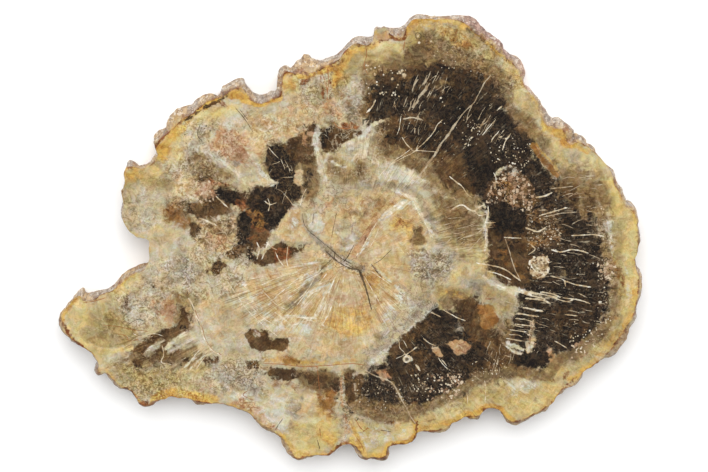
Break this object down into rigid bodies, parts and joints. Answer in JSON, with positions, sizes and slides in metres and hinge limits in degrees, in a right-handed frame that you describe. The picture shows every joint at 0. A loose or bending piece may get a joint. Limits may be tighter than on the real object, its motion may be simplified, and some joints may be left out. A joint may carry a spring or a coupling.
{
  "type": "petrified wood slice",
  "caption": "Flat slab of petrified wood, sawn across the log and polished on its upper face, with a lobed outline and a rough bark side.",
  "frame": {"origin": "on the sawn back, under the middle of the slab's box", "axes": "+Z out of the polished face, +X along the length towards the broad end, away from the narrow lobe"},
  "size_m": [0.2356, 0.1834, 0.015],
  "materials": {
    "stone": "polished on the upper face, rough and matte on the bark side and the sawn back"
  },
  "bodies": {
    "root": {"slice": "stone"}
  },
  "joints": []
}
